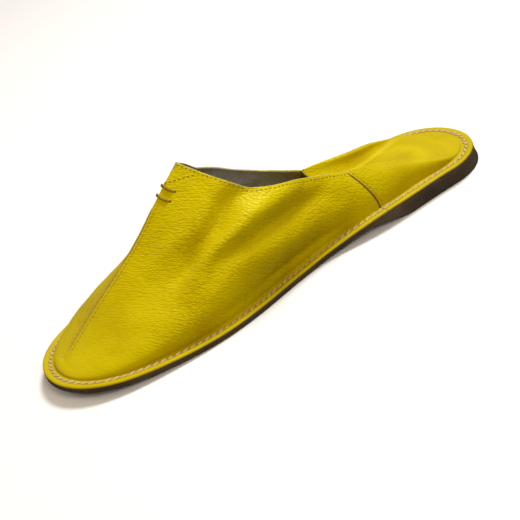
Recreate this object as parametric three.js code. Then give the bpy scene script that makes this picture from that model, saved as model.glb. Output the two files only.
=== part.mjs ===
// Babouche slipper, right shoe, standing empty on its sole. Millimetres.
// +X runs from heel to toe, +Y to the wearer's left (the medial side), +Z up.
import * as THREE from 'three';
import { mergeVertices } from 'three/addons/utils/BufferGeometryUtils.js';

// Driving dimensions
const shoeLength = 270;
const ballWidth = 100;
const instepHeight = 74.3;
const heelHeight = 8.4;
const toeSpring = 6.3;
const soleThickness = 2.3;
const leather = 1.3;
const insoleThickness = 1.5;
const gap = 0.3;
const marginWidth = 6.7;
const marginInset = 0.4;
const insoleInset = 10.6;
const insoleHeelInset = 14.5;
const soleEdge = 0.8;
const heelFlare = 1.5;
const seatHeight = heelHeight + 3 * gap + insoleThickness + leather;
const foldRadius = 3;
const wallBulge = 0.15;
const bulgeRise = 0.6;
const flushInset = 1.2;
const flushRise = 1.2;
const thongRadius = 0.7;
const thongReach = 6.3;

// Where things sit along the shoe
const heelCapLength = 30;
const toeCapStart = 175;
const toeCapPower = 3.1;
const heelFlatEnd = 60;
const heelSlopeStart = 70;
const breastEnd = 92;
const treadStart = 135;
const springStart = 180;
const throat = 162;
const seamFoot = { medial: 77, lateral: 86 };
const ridgeAtSeam = { medial: 99, lateral: 96 };
const seamGap = 0.6;
const seamEasing = 0.4;
const seatFront = 59;
const seatBack = 16;
const landingShare = { medial: 0.4, lateral: 0.3 };
const tipLanding = 0.35;
const wallRunsOut = { medial: [0.45, 0.68], lateral: [0.5, 0.76] };
const thongs = { tie_upper: 173, tie_lower: 177.6 };
const ridgeEnd = 257;

// Numbers of stations and columns in the meshes
const rimSteps = 72;
const soleStations = 40;
const backStations = 9;
const frontStations = 18;
const wallColumns = 10;
const quarterSteps = 16;
const quarterWallColumns = 4;
const quarterFlapColumns = 7;
const thongSides = 8;
const thongSteps = 12;

// Outline of the sole: half width as a share of the ball's width, and offset of the centre line
const outlineRows = [
  { x: 0, half: 0.328, centre: 0 },
  { x: 40, half: 0.333, centre: -1.7 },
  { x: 80, half: 0.386, centre: -5.8 },
  { x: 120, half: 0.393, centre: -9.7 },
  { x: 160, half: 0.469, centre: -9.8 },
  { x: 190, half: 0.502, centre: -9.2 },
  { x: 220, half: 0.486, centre: -7.3 },
  { x: 270, half: 0.477, centre: 0 },
];

// Centre seam of the upper, from the throat to the toe; heights are shares of the instep's height
const seamRows = [
  { x: 162, y: -9.7, height: 1 },
  { x: 178, y: -7.8, height: 0.855 },
  { x: 195, y: -7, height: 0.682 },
  { x: 211, y: -6.3, height: 0.545 },
  { x: 233, y: -5.5, height: 0.377 },
  { x: 248, y: -5.1, height: 0.249 },
  { x: 257, y: -4.9, height: 0.175 },
];

// Behind the throat each side runs on to an imaginary ridge of its own
const ridgeRows = {
  medial: [
    { x: 96, y: -5, height: 0.74 },
    { x: 115, y: -8, height: 1.009 },
    { x: 143, y: -10, height: 1.157 },
    ...seamRows,
  ],
  lateral: [
    { x: 96, y: -5, height: 0.511 },
    { x: 115, y: -8, height: 0.781 },
    { x: 143, y: -10, height: 1.157 },
    ...seamRows,
  ],
};

// Section of the vamp, given at the ridge: how far the wall bulges over its foot, how high the
// bulge pulls, the slope beside the ridge in degrees, and how far that slope reaches down
const sectionRows = {
  medial: [
    { x: 96, bulge: 0, rise: 12, slope: 48, reach: 22 },
    { x: 115, bulge: 4, rise: 22, slope: 47, reach: 36 },
    { x: 143, bulge: 10, rise: 27, slope: 40, reach: 48 },
    { x: 162, bulge: 10, rise: 26, slope: 38, reach: 44 },
    { x: 195, bulge: 9, rise: 20, slope: 34, reach: 34 },
    { x: 233, bulge: 5, rise: 9, slope: 22, reach: 20 },
    { x: 257, bulge: 1, rise: 2, slope: 10, reach: 3 },
  ],
  lateral: [
    { x: 96, bulge: 0, rise: 9, slope: 30, reach: 20 },
    { x: 115, bulge: 3, rise: 18, slope: 38, reach: 26 },
    { x: 143, bulge: 9, rise: 26, slope: 42, reach: 40 },
    { x: 162, bulge: 10, rise: 26, slope: 46, reach: 40 },
    { x: 182, bulge: 9.6, rise: 22.5, slope: 46, reach: 33 },
    { x: 200, bulge: 8.8, rise: 18.5, slope: 42, reach: 28 },
    { x: 216, bulge: 7.2, rise: 14, slope: 32, reach: 26 },
    { x: 233, bulge: 5, rise: 9, slope: 22, reach: 20 },
    { x: 257, bulge: 1, rise: 2, slope: 10, reach: 3 },
  ],
};

// Height of the collar edge, as a share of the instep's height
const collarRows = {
  medial: [
    { x: 84, height: 0.439 },
    { x: 115, height: 0.612 },
    { x: 143, height: 0.777 },
    { x: 162, height: 1 },
  ],
  lateral: [
    { x: 84, height: 0.336 },
    { x: 115, height: 0.511 },
    { x: 143, height: 0.74 },
    { x: 162, height: 1 },
  ],
};

// Fold of the trodden-down quarter, from the side seam (0) to the heel's tip (1)
const foldRows = {
  medial: [
    { x: 0, along: 87.3, across: 11, up: 33.8 },
    { x: 0.2, along: 70.5, across: 15, up: 29.7 },
    { x: 0.45, along: 46, across: 18, up: 21 },
    { x: 0.62, along: 30, across: 20, up: 16 },
    { x: 0.76, along: 18.5, across: 18, up: 14.3 },
    { x: 1, along: 9.5, across: 0, up: 13.6 },
  ],
  lateral: [
    { x: 0, along: 87.4, across: -20, up: 25.7 },
    { x: 0.15, along: 76, across: -24, up: 22.8 },
    { x: 0.33, along: 59, across: -25.5, up: 18.5 },
    { x: 0.53, along: 41, across: -27, up: 15.6 },
    { x: 0.73, along: 22, across: -22.5, up: 14.2 },
    { x: 1, along: 9.5, across: 0, up: 13.6 },
  ],
};

const sideSign = { medial: 1, lateral: -1 };

// Smooth value of one column of a table at x
function column(rows, name, x) {
  const last = rows.length - 1;
  if (x <= rows[0].x) return rows[0][name];
  if (x >= rows[last].x) return rows[last][name];
  const i = rows.findIndex((row, k) => k < last && x <= rows[k + 1].x);
  const step = rows[i + 1].x - rows[i].x;
  const t = (x - rows[i].x) / step;
  const slopeAt = (k) => {
    const a = rows[Math.max(k - 1, 0)];
    const b = rows[Math.min(k + 1, last)];
    return (b[name] - a[name]) / (b.x - a.x);
  };
  const t2 = t * t;
  const t3 = t2 * t;
  return (2 * t3 - 3 * t2 + 1) * rows[i][name] + (3 * t2 - 2 * t3) * rows[i + 1][name]
    + step * ((t3 - 2 * t2 + t) * slopeAt(i) + (t3 - t2) * slopeAt(i + 1));
}

// Top face of the outsole
function soleTop(x) {
  const drop = THREE.MathUtils.smoothstep(x, heelSlopeStart, treadStart);
  const spring = Math.max(0, (x - springStart) / (shoeLength - springStart));
  return THREE.MathUtils.lerp(heelHeight, soleThickness, drop) + toeSpring * spring ** 2;
}

// Underside of the outsole: flat under the heel and under the tread, arched between
function soleBottom(x) {
  if (x <= heelFlatEnd) return 0;
  const thinning = THREE.MathUtils.smoothstep(x, heelFlatEnd, breastEnd);
  const thickness = THREE.MathUtils.lerp(heelHeight, soleThickness, thinning);
  return Math.max(0, soleTop(x) - thickness);
}

// Half of the sole's outline from the heel's tip to the toe's tip
function rimCurve(side) {
  const points = [];
  for (let i = 0; i <= rimSteps; i += 1) {
    const x = shoeLength * (1 - Math.cos(Math.PI * i / rimSteps)) / 2;
    const fromHeel = Math.min(1, x / heelCapLength);
    const intoToe = Math.max(0, (x - toeCapStart) / (shoeLength - toeCapStart));
    const heelRound = Math.sqrt(1 - (1 - fromHeel) ** 2);
    const toeRound = Math.sqrt(Math.max(0, 1 - intoToe ** toeCapPower));
    const half = ballWidth * column(outlineRows, 'half', x) * heelRound * toeRound;
    points.push(new THREE.Vector3(x, column(outlineRows, 'centre', x) + sideSign[side] * half, 0));
  }
  return new THREE.CatmullRomCurve3(points, false, 'centripetal');
}

const rims = { medial: rimCurve('medial'), lateral: rimCurve('lateral') };

// Point at a share of the rim, and the level direction from there into the shoe
function rimAt(side, share) {
  const point = rims[side].getPointAt(share);
  const tangent = rims[side].getTangentAt(share);
  if (share === 0) tangent.set(0, sideSign[side], 0);
  if (share === 1) tangent.set(0, -sideSign[side], 0);
  const inward = new THREE.Vector3(tangent.y, -tangent.x, 0).multiplyScalar(sideSign[side]);
  return { point, inward: inward.normalize() };
}

// Share of the rim at which it passes x
function shareAt(side, x) {
  let low = 0;
  let high = 1;
  for (let i = 0; i < 30; i += 1) {
    const middle = (low + high) / 2;
    if (rims[side].getPointAt(middle).x < x) low = middle;
    else high = middle;
  }
  return (low + high) / 2;
}

// Outer points of the stitched-down margin, from its cut edge to just before the wall's foot
function marginPoints(point, inward) {
  return [marginInset, marginWidth / 2].map((inset) => {
    const onMargin = point.clone().addScaledVector(inward, inset);
    return onMargin.setZ(soleTop(onMargin.x) + gap + leather);
  });
}

function wallFoot(point, inward) {
  const foot = point.clone().addScaledVector(inward, marginWidth);
  return foot.setZ(soleTop(foot.x) + gap + leather);
}

// Section of the vamp from its foot (0) to the ridge (1)
function vampSection(side, share, ridgeX) {
  const { point, inward } = rimAt(side, share);
  const value = (name) => column(sectionRows[side], name, ridgeX);
  const foot = wallFoot(point, inward);
  const ridgeValue = (name) => column(ridgeRows[side], name, ridgeX);
  const ridge = new THREE.Vector3(ridgeX, ridgeValue('y'), instepHeight * ridgeValue('height'));
  const bulge = foot.clone().addScaledVector(inward, -value('bulge'));
  bulge.z += value('rise');
  const slope = THREE.MathUtils.degToRad(value('slope'));
  const down = foot.clone().sub(ridge).setZ(0).normalize().multiplyScalar(Math.cos(slope));
  down.z = -Math.sin(slope);
  const shoulder = ridge.clone().addScaledVector(down, value('reach'));
  return new THREE.CubicBezierCurve3(foot, bulge, shoulder, ridge);
}

// How far up its section the leather goes: to the ridge, or to the collar behind the throat
function sectionEnd(side, section, ridgeX) {
  if (ridgeX >= throat) return 1;
  let low = 0;
  let high = 1;
  for (let i = 0; i < 30; i += 1) {
    const middle = (low + high) / 2;
    const point = section.getPoint(middle);
    if (point.z < instepHeight * column(collarRows[side], 'height', point.x)) low = middle;
    else high = middle;
  }
  return (low + high) / 2;
}

// Points across the leather of one station: margin edge, margin, then up the wall
function vampStation(side, share, ridgeX) {
  const { point, inward } = rimAt(side, share);
  const section = vampSection(side, share, ridgeX);
  const end = sectionEnd(side, section, ridgeX);
  const points = marginPoints(point, inward);
  for (let i = 0; i <= wallColumns; i += 1) points.push(section.getPoint(end * i / wallColumns));
  return points;
}

function vampStations(side) {
  const stations = [];
  const seamShare = shareAt(side, seamFoot[side]);
  const throatShare = shareAt(side, throat);
  for (let i = 0; i < backStations; i += 1) {
    const part = i / backStations;
    const ridgeX = THREE.MathUtils.lerp(ridgeAtSeam[side], throat, part);
    stations.push(vampStation(side, THREE.MathUtils.lerp(seamShare, throatShare, part), ridgeX));
  }
  for (let i = 0; i <= frontStations; i += 1) {
    const part = i / frontStations;
    const ridgeX = throat + (ridgeEnd - throat) * Math.sin(part * Math.PI / 2);
    stations.push(vampStation(side, THREE.MathUtils.lerp(throatShare, 1, part), ridgeX));
  }
  return stations;
}

// Triangles between neighbouring rows of points, turned round on request
function grid(rows, flipped) {
  const corners = [];
  for (let i = 0; i + 1 < rows.length; i += 1) {
    for (let j = 0; j + 1 < rows[i].length; j += 1) {
      const quad = [rows[i][j], rows[i + 1][j], rows[i + 1][j + 1], rows[i][j + 1]];
      if (flipped) quad.reverse();
      corners.push(quad[0], quad[1], quad[2], quad[0], quad[2], quad[3]);
    }
  }
  return corners;
}

// Merged geometry from a list of triangle corners, without triangles that have closed up
function geometryFrom(corners) {
  let geometry = new THREE.BufferGeometry().setFromPoints(corners);
  geometry = mergeVertices(geometry, 1e-4);
  const index = geometry.getIndex().array;
  const kept = [];
  for (let i = 0; i < index.length; i += 3) {
    const [a, b, c] = index.slice(i, i + 3);
    if (a !== b && b !== c && c !== a) kept.push(a, b, c);
  }
  geometry.setIndex(kept);
  geometry.computeVertexNormals();
  return geometry;
}

// A sheet of leather below an outer surface: inner surface along the normals, then the cut edges
function leatherBelow(corners, thickness) {
  const surface = geometryFrom(corners);
  const { position, normal } = surface.attributes;
  const outer = [];
  const inner = [];
  for (let i = 0; i < position.count; i += 1) {
    const point = new THREE.Vector3().fromBufferAttribute(position, i);
    const direction = new THREE.Vector3().fromBufferAttribute(normal, i);
    outer.push(point);
    inner.push(point.clone().addScaledVector(direction, -thickness));
  }
  const index = Array.from(surface.getIndex().array);
  const edges = new Set();
  const solid = [];
  for (let i = 0; i < index.length; i += 3) {
    const [a, b, c] = index.slice(i, i + 3);
    solid.push(outer[a], outer[b], outer[c], inner[a], inner[c], inner[b]);
    [[a, b], [b, c], [c, a]].forEach(([p, q]) => edges.add(`${p} ${q}`));
  }
  edges.forEach((edge) => {
    const [p, q] = edge.split(' ').map(Number);
    if (edges.has(`${q} ${p}`)) return;
    solid.push(outer[q], outer[p], inner[p], outer[q], inner[p], inner[q]);
  });
  return geometryFrom(solid);
}

function smoothMaterial(color, roughness) {
  return new THREE.MeshStandardMaterial({ color, roughness, metalness: 0 });
}

const yellowLeather = () => smoothMaterial(0xc2ac00, 0.42);

function named(name, geometry, material) {
  const mesh = new THREE.Mesh(geometry, material);
  mesh.name = name;
  return mesh;
}

function upper() {
  const corners = [
    ...grid(vampStations('medial'), true),
    ...grid(vampStations('lateral'), false),
  ];
  return named('upper', leatherBelow(corners, leather), yellowLeather());
}

// Wall of the vamp at the side seam, moved back by the seam's gap
function seamWall(side) {
  const section = vampSection(side, shareAt(side, seamFoot[side]), ridgeAtSeam[side]);
  const end = sectionEnd(side, section, ridgeAtSeam[side]);
  const points = [];
  for (let i = 0; i <= quarterWallColumns; i += 1) {
    const point = section.getPoint(end * i / quarterWallColumns);
    points.push(point.setX(point.x - seamGap));
  }
  return points;
}

// Wall and flap of the quarter at one station, as curves that meet in the fold. Towards the
// heel's tip the wall runs out and the fold lies almost flush with the margin.
function quarterCurves(side, part, foldStart) {
  const seamShare = shareAt(side, seamFoot[side] - seamGap);
  const { point, inward } = rimAt(side, seamShare * (1 - part));
  const foot = wallFoot(point, inward);
  const flush = foot.clone().addScaledVector(inward, flushInset);
  flush.z += flushRise;
  const settled = THREE.MathUtils.smoothstep(part, ...wallRunsOut[side]);
  const fold = foldStart.clone().lerp(flush, settled);
  const seatX = THREE.MathUtils.lerp(seatFront, seatBack, part);
  const seat = new THREE.Vector3(seatX, column(outlineRows, 'centre', seatX), seatHeight);
  const wallHeight = fold.z - foot.z;
  const radius = Math.min(foldRadius, wallHeight);
  const reach = seat.clone().sub(fold).setZ(0).normalize().multiplyScalar(radius);
  const bulge = foot.clone().addScaledVector(inward, -wallHeight * wallBulge);
  bulge.z += wallHeight * bulgeRise;
  const share = THREE.MathUtils.lerp(landingShare[side], tipLanding, settled);
  const landing = fold.clone().lerp(seat, share).setZ(seatHeight);
  return {
    margin: marginPoints(point, inward),
    wall: new THREE.CubicBezierCurve3(foot, bulge, fold.clone().sub(reach), fold),
    flap: new THREE.CubicBezierCurve3(fold, fold.clone().add(reach), landing, seat),
  };
}

function foldAt(side, part) {
  return new THREE.Vector3(...['along', 'across', 'up'].map(
    (name) => column(foldRows[side], name, part)));
}

// Stations of the quarter: at the seam it follows the vamp's wall, then eases into its own form
function quarterStations(side) {
  const seam = seamWall(side);
  const topShift = seam[quarterWallColumns].clone().sub(foldAt(side, 0));
  const first = quarterCurves(side, 0, foldAt(side, 0).add(topShift)).wall;
  const shifts = first.getPoints(quarterWallColumns).map((point, k) => seam[k].clone().sub(point));
  const stations = [];
  for (let i = 0; i <= quarterSteps; i += 1) {
    const part = i / quarterSteps;
    const ease = Math.max(0, 1 - part / seamEasing) ** 2;
    const fold = foldAt(side, part).addScaledVector(topShift, ease);
    const { margin, wall, flap } = quarterCurves(side, part, fold);
    const wallPoints = wall.getPoints(quarterWallColumns);
    wallPoints.forEach((point, k) => point.addScaledVector(shifts[k], ease));
    stations.push([...margin, ...wallPoints, ...flap.getPoints(quarterFlapColumns).slice(1)]);
  }
  return stations;
}

function heelQuarter() {
  const corners = [
    ...grid(quarterStations('medial'), false),
    ...grid(quarterStations('lateral'), true),
  ];
  return named('heel_quarter', leatherBelow(corners, leather), yellowLeather());
}

// Stations of the sole: the same x on both sides, close together round the heel and the toe
function soleRing(inset, height) {
  const side = (name, share) => {
    const { point, inward } = rimAt(name, share);
    point.z = height(point.x);
    return point.addScaledVector(inward, inset(point.x));
  };
  const medial = [];
  const lateral = [];
  for (let i = 0; i <= soleStations; i += 1) {
    const share = i / soleStations;
    medial.push(side('medial', share));
    const atTip = i === 0 || i === soleStations;
    const x = rims.medial.getPointAt(share).x;
    if (!atTip) lateral.push(side('lateral', shareAt('lateral', x)));
  }
  return { loop: [...medial, ...lateral.reverse()], count: soleStations };
}

// Solid between rings from the lowest to the highest, closed by rungs from side to side
function stackRings(rings) {
  const corners = [];
  rings.slice(1).forEach((ring, k) => {
    const rows = [rings[k].loop, ring.loop].map((loop) => [...loop, loop[0]]);
    corners.push(...grid(rows, false));
  });
  const cap = ({ loop, count }, flipped) => {
    const rungs = [];
    for (let i = 0; i <= count; i += 1) rungs.push([loop[i], loop[(loop.length - i) % loop.length]]);
    corners.push(...grid(rungs, flipped));
  };
  cap(rings[0], false);
  cap(rings[rings.length - 1], true);
  return geometryFrom(corners);
}

function outsole() {
  const flare = (x) => -heelFlare * Math.max(0, 1 - x / heelCapLength) ** 2;
  const geometry = stackRings([
    soleRing((x) => flare(x) + soleEdge, soleBottom),
    soleRing(flare, (x) => soleBottom(x) + soleEdge),
    soleRing(() => 0, (x) => soleTop(x) - soleEdge / 2),
    soleRing(() => soleEdge / 2, soleTop),
  ]);
  return named('outsole', geometry, smoothMaterial(0x3a3026, 0.7));
}

function insole() {
  const under = (x) => soleTop(x) + gap;
  const forward = (x) => THREE.MathUtils.smoothstep(x, heelCapLength / 2, heelFlatEnd);
  const inset = (x) => THREE.MathUtils.lerp(insoleHeelInset, insoleInset, forward(x));
  const geometry = stackRings([
    soleRing(inset, under),
    soleRing(inset, (x) => under(x) + insoleThickness),
  ]);
  return named('insole', geometry, smoothMaterial(0xb39a14, 0.5));
}

// Share of the rim that belongs to a place on the ridge in front of the throat
function shareForRidge(side, ridgeX) {
  const part = Math.asin((ridgeX - throat) / (ridgeEnd - throat)) / (Math.PI / 2);
  return THREE.MathUtils.lerp(shareAt(side, throat), 1, part);
}

// Point above the vamp, a level distance away from the ridge
function abovePanel(side, ridgeX, distance, lift) {
  const section = (x) => vampSection(side, shareForRidge(side, x), x);
  const here = section(ridgeX);
  let low = 0;
  let high = 1;
  for (let i = 0; i < 30; i += 1) {
    const middle = (low + high) / 2;
    if (Math.abs(here.getPoint(middle).y - here.v3.y) > distance) low = middle;
    else high = middle;
  }
  const point = here.getPoint(high);
  const across = here.getTangent(high);
  const forward = section(ridgeX + 1).getPoint(high).sub(point);
  const normal = forward.cross(across).multiplyScalar(sideSign[side]).normalize();
  if (distance === 0) normal.setY(0).normalize();
  return point.addScaledVector(normal.z < 0 ? normal.negate() : normal, lift);
}

function thong(name) {
  const lift = thongRadius + 2 * gap;
  const path = new THREE.CatmullRomCurve3([
    abovePanel('medial', thongs[name], thongReach, lift),
    abovePanel('medial', thongs[name], thongReach / 2, lift),
    abovePanel('medial', thongs[name], 0, lift),
    abovePanel('lateral', thongs[name], thongReach / 2, lift),
    abovePanel('lateral', thongs[name], thongReach, lift),
  ]);
  const section = new THREE.Shape();
  section.absarc(0, 0, thongRadius, 0, 2 * Math.PI);
  const geometry = new THREE.ExtrudeGeometry(section, {
    steps: thongSteps,
    curveSegments: thongSides / 2,
    extrudePath: path,
  });
  return named(name, geometry, yellowLeather());
}

const slipper = new THREE.Group();
slipper.add(outsole(), insole(), upper(), heelQuarter(), ...Object.keys(thongs).map(thong));

// The origin stands under the middle of the whole slipper
const box = new THREE.Box3().setFromObject(slipper, true);
const middle = box.getCenter(new THREE.Vector3());
slipper.position.set(-middle.x, -middle.y, -box.min.z);
export default slipper;
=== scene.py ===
import math

import bpy
import numpy as np
from mathutils import Matrix, Vector, noise
from mathutils.bvhtree import BVHTree


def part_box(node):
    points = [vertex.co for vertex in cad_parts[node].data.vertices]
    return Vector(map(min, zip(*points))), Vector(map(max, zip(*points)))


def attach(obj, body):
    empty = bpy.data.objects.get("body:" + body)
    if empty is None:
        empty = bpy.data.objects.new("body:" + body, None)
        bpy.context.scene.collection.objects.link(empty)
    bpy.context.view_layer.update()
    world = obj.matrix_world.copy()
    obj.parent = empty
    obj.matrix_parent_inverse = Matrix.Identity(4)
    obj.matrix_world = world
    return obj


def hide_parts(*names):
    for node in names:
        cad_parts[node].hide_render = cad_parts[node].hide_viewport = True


# Babouche slipper, right shoe. Shapes are worked out in millimetres in the shoe's own frame:
# x from the heel's tip to the toe, y towards the medial side, z up from the floor.

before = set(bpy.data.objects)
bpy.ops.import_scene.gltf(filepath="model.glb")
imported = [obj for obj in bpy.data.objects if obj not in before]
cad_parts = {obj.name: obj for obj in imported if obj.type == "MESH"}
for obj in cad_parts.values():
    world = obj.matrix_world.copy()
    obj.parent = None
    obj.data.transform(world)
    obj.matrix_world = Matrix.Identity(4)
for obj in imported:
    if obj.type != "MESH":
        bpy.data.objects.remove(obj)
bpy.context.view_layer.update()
mm = 0.001
sides = {"medial": 1.0, "lateral": -1.0}


def linked(name, data):  # a new object in the scene, at the origin
    item = bpy.data.objects.new(name, data)
    bpy.context.scene.collection.objects.link(item)
    return item


def smoothCurve(xs, ys):  # natural cubic spline through a short table
    xs, ys = np.array(xs, float), np.array(ys, float)
    count, step = len(xs), np.diff(xs)
    system, load = np.eye(count), np.zeros(count)
    for i in range(1, count - 1):
        system[i, i - 1:i + 2] = step[i - 1], 2 * (step[i - 1] + step[i]), step[i]
        load[i] = 6 * ((ys[i + 1] - ys[i]) / step[i] - (ys[i] - ys[i - 1]) / step[i - 1])
    bend = np.linalg.solve(system, load)

    def value(x):
        x = np.clip(x, xs[0], xs[-1])
        k = np.clip(np.searchsorted(xs, x) - 1, 0, count - 2)
        left, right = (xs[k + 1] - x) / step[k], (x - xs[k]) / step[k]
        curve = (left ** 3 - left) * bend[k] + (right ** 3 - right) * bend[k + 1]
        return left * ys[k] + right * ys[k + 1] + curve * step[k] ** 2 / 6

    return value


def curvesOf(table):
    return {name: smoothCurve(table["x"], table[name]) for name in table if name != "x"}


def ease(x, low, high):
    t = np.clip((x - low) / (high - low), 0, 1)
    return t * t * (3 - 2 * t)


def bezier(a, b, c, d, t):  # a to d are (stations, 3), t is (stations, columns)
    t = t[..., None]
    a, b, c, d = (p[:, None, :] for p in (a, b, c, d))
    return (1 - t) ** 3 * a + 3 * (1 - t) ** 2 * t * b + 3 * (1 - t) * t * t * c + t ** 3 * d


last = {
    "length": 270.0,
    "heelTop": 8.4,  # top face of the rubber under the heel
    "treadTop": 2.3,
    "toeSpring": 6.3,
    "heelCap": 30.0,
    "heelFlatEnd": 60.0,
    "slopeStart": 70.0,
    "breastEnd": 92.0,
    "treadStart": 135.0,
    "toeCapStart": 175.0,
    "springStart": 180.0,
    "toeCapPower": 3.1,
    "throat": 162.0,
    "seamFoot": {"medial": 77.0, "lateral": 86.0},
    "ridgeAtSeam": {"medial": 99.0, "lateral": 96.0},
    "ridgeEnd": 257.0,
    "margin": 6.7,
    "heelFlare": 1.5,
    "gap": 0.3,
    "leather": 1.3,
}

outline = curvesOf({
    "x": (0, 40, 80, 120, 160, 190, 220, 270),
    "half": (32.8, 33.3, 38.6, 39.3, 46.9, 50.2, 48.6, 47.7),
    "centre": (0, -1.7, -5.8, -9.7, -9.8, -9.2, -7.3, 0),
})

# Centre seam from the throat to the toe, and the imaginary ridge behind the throat
ridgeLine = {
    "x": (96, 115, 143, 162, 178, 195, 211, 233, 248, 257),
    "y": (-5, -8, -10, -9.7, -7.8, -7, -6.3, -5.5, -5.1, -4.9),
}
ridgeFront = (86, 74.3, 63.5, 50.7, 40.5, 28, 18.5, 13)
ridge = {side: curvesOf({**ridgeLine, "z": behind + ridgeFront})
         for side, behind in (("medial", (55, 75)), ("lateral", (38, 58)))}

# Wall section: bulge over the foot, rise of the bulge, slope beside the ridge, its reach
section = {
    "medial": curvesOf({
        "x": (96, 115, 143, 162, 195, 233, 257),
        "bulge": (0, 4, 10, 10, 9, 5, 1),
        "rise": (12, 22, 27, 26, 20, 9, 2),
        "slope": (48, 47, 40, 38, 34, 22, 10),
        "reach": (22, 36, 48, 44, 34, 20, 3),
    }),
    "lateral": curvesOf({
        "x": (96, 115, 143, 162, 182, 200, 216, 233, 257),
        "bulge": (0, 3, 9, 10, 9.6, 8.8, 7.2, 5, 1),
        "rise": (9, 18, 26, 26, 22.5, 18.5, 14, 9, 2),
        "slope": (30, 38, 42, 46, 46, 42, 32, 22, 10),
        "reach": (20, 26, 40, 40, 33, 28, 26, 20, 3),
    }),
}

collar = {
    "medial": curvesOf({"x": (84, 115, 143, 162), "z": (32.6, 45.5, 57.7, 74.3)}),
    "lateral": curvesOf({"x": (84, 115, 143, 162), "z": (25, 38, 55, 74.3)}),
}


def soleTop(x):
    spring = np.maximum(0, (x - last["springStart"]) / (last["length"] - last["springStart"]))
    drop = ease(x, last["slopeStart"], last["treadStart"])
    return last["heelTop"] + (last["treadTop"] - last["heelTop"]) * drop + last["toeSpring"] * spring ** 2


def soleBottom(x):
    thinning = ease(x, last["heelFlatEnd"], last["breastEnd"])
    thickness = last["heelTop"] + (last["treadTop"] - last["heelTop"]) * thinning
    return np.where(x <= last["heelFlatEnd"], 0.0, np.maximum(0.0, soleTop(x) - thickness))


def makeRim(sign):
    x = last["length"] * (1 - np.cos(np.linspace(0, math.pi, 901))) / 2
    heelRound = np.sqrt(1 - (1 - np.minimum(1, x / last["heelCap"])) ** 2)
    intoToe = np.maximum(0, (x - last["toeCapStart"]) / (last["length"] - last["toeCapStart"]))
    toeRound = np.sqrt(np.maximum(0, 1 - intoToe ** last["toeCapPower"]))
    y = outline["centre"](x) + sign * outline["half"](x) * heelRound * toeRound
    points = np.column_stack([x, y])
    tangent = np.gradient(points, axis=0)
    tangent[0], tangent[-1] = (0, sign), (0, -sign)
    tangent /= np.linalg.norm(tangent, axis=1)[:, None]
    steps = np.linalg.norm(np.diff(points, axis=0), axis=1)
    run = np.concatenate([[0], np.cumsum(steps)])
    return {"points": points, "tangent": tangent, "run": run, "sign": sign}


rims = {name: makeRim(sign) for name, sign in sides.items()}


def rimAt(side, share):  # points on the rim, and level directions into the shoe
    rim = rims[side]
    at = np.asarray(share, float) * rim["run"][-1]
    points, tangent = (np.column_stack([np.interp(at, rim["run"], column) for column in rim[name].T])
                       for name in ("points", "tangent"))
    inward = rim["sign"] * np.column_stack([tangent[:, 1], -tangent[:, 0]])
    return points, inward / np.linalg.norm(inward, axis=1)[:, None]


def shareAt(side, x):
    rim = rims[side]
    return np.interp(x, rim["points"][:, 0], rim["run"]) / rim["run"][-1]


def lifted(flat, height):
    return np.column_stack([flat, height])


def wallFoot(points, inward):
    flat = points + inward * last["margin"]
    return lifted(flat, soleTop(flat[:, 0]) + last["gap"] + last["leather"])


# Rolled edge of the stitched-down margin: inset from the rim and height over the rubber
marginProfile = {
    "inset": (1.0, 0.35, 0.1, 0.25, 0.7, 1.3, 2.0, 2.6, 3.1, 3.6, 4.4, 5.6),
    "height": (0.12, 0.3, 0.8, 1.2, 1.55, 1.7, 1.65, 1.45, 1.25, 1.1, 1.1, 1.25),
}


def marginRows(points, inward):
    rows = []
    for inset, height in zip(marginProfile["inset"], marginProfile["height"]):
        flat = points + inward * inset
        rows.append(lifted(flat, soleTop(flat[:, 0]) + height))
    return np.stack(rows, axis=1)


shiftY = -(rims["medial"]["points"][:, 1].max() + rims["lateral"]["points"][:, 1].min()) / 2
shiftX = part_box("outsole")[0][0] / mm + last["heelFlare"]
shift = np.array([shiftX, shiftY, 0.0])


def inRow(points):  # the shoe's frame in millimetres to the row's frame in metres
    return (np.asarray(points, float) + shift) * mm


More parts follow.
